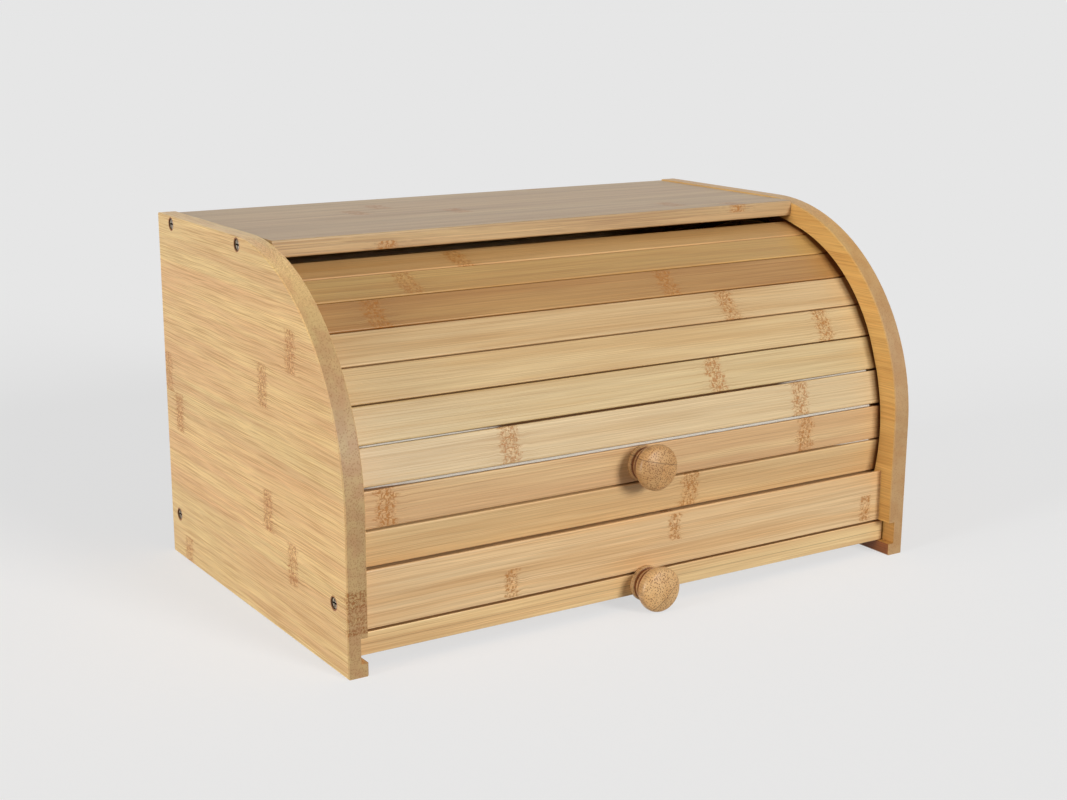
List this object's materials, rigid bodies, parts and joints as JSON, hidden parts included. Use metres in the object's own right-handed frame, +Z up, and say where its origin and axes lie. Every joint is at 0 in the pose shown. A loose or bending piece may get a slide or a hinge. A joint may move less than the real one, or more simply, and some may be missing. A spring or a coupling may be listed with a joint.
{
  "type": "bread box with drawer",
  "caption": "Bamboo bread box with round-shouldered sides, a roll-up slatted front with a turned knob, and a shallow full-width drawer below.",
  "frame": {"origin": "on the surface the box stands on, under the middle of the whole object's box, knobs included", "axes": "+Z up, +X to the right seen from the front, +Y from the front (curtain and knobs) to the back"},
  "size_m": [0.4, 0.2642, 0.22],
  "materials": {
    "side_board": "sanded bamboo strip board, clear satin lacquer, grain front to back",
    "top_board": "sanded bamboo strip board, clear satin lacquer, grain left to right",
    "floor_board": "sanded bamboo strip board, grain left to right",
    "rail_board": "sanded bamboo strip, clear satin lacquer",
    "back_board": "thin bamboo sheet, grain left to right",
    "slat_board": "sanded bamboo slat, clear satin lacquer, each slat its own tone",
    "drawer_board": "sanded bamboo strip, clear satin lacquer",
    "tray_board": "thin bamboo sheet",
    "knob_wood": "turned bamboo, end grain showing as dark specks",
    "dowel_wood": "plain wooden dowel",
    "canvas": "grey plain-weave canvas",
    "screw_steel": "zinc-plated steel",
    "nail_steel": "plain steel"
  },
  "bodies": {
    "carcase": {"side_panel_left": "side_board", "side_panel_right": "side_board", "top_panel": "top_board", "floor_panel": "floor_board", "front_rail": "rail_board", "back_panel": "back_board", "side_screws_left": "screw_steel", "side_screws_right": "screw_steel", "back_panel_nails": "nail_steel", "floor_dowels": "dowel_wood"},
    "curtain": {"tambour_slat_1": "slat_board", "tambour_slat_2": "slat_board", "tambour_slat_3": "slat_board", "tambour_slat_4": "slat_board", "tambour_slat_5": "slat_board", "tambour_slat_6": "slat_board", "tambour_slat_7": "slat_board", "tambour_slat_8": "slat_board", "tambour_slat_9": "slat_board", "tambour_canvas": "canvas", "tambour_knob": "knob_wood", "tambour_knob_screw": "screw_steel"},
    "drawer": {"drawer_front": "drawer_board", "drawer_side_left": "drawer_board", "drawer_side_right": "drawer_board", "drawer_back": "drawer_board", "drawer_bottom": "tray_board", "drawer_knob": "knob_wood", "drawer_knob_screw": "screw_steel", "drawer_dowels": "dowel_wood"}
  },
  "joints": [
    {"name": "curtain_roll", "type": "hinge", "parent": "carcase", "child": "curtain", "pos_m": [0, 0.01935, 0.081], "axis": [-1, 0, 0], "range_deg": [0, 68]},
    {"name": "drawer_slide", "type": "slide", "parent": "carcase", "child": "drawer", "axis": [0, -1, 0], "range_m": [0, 0.2]}
  ]
}
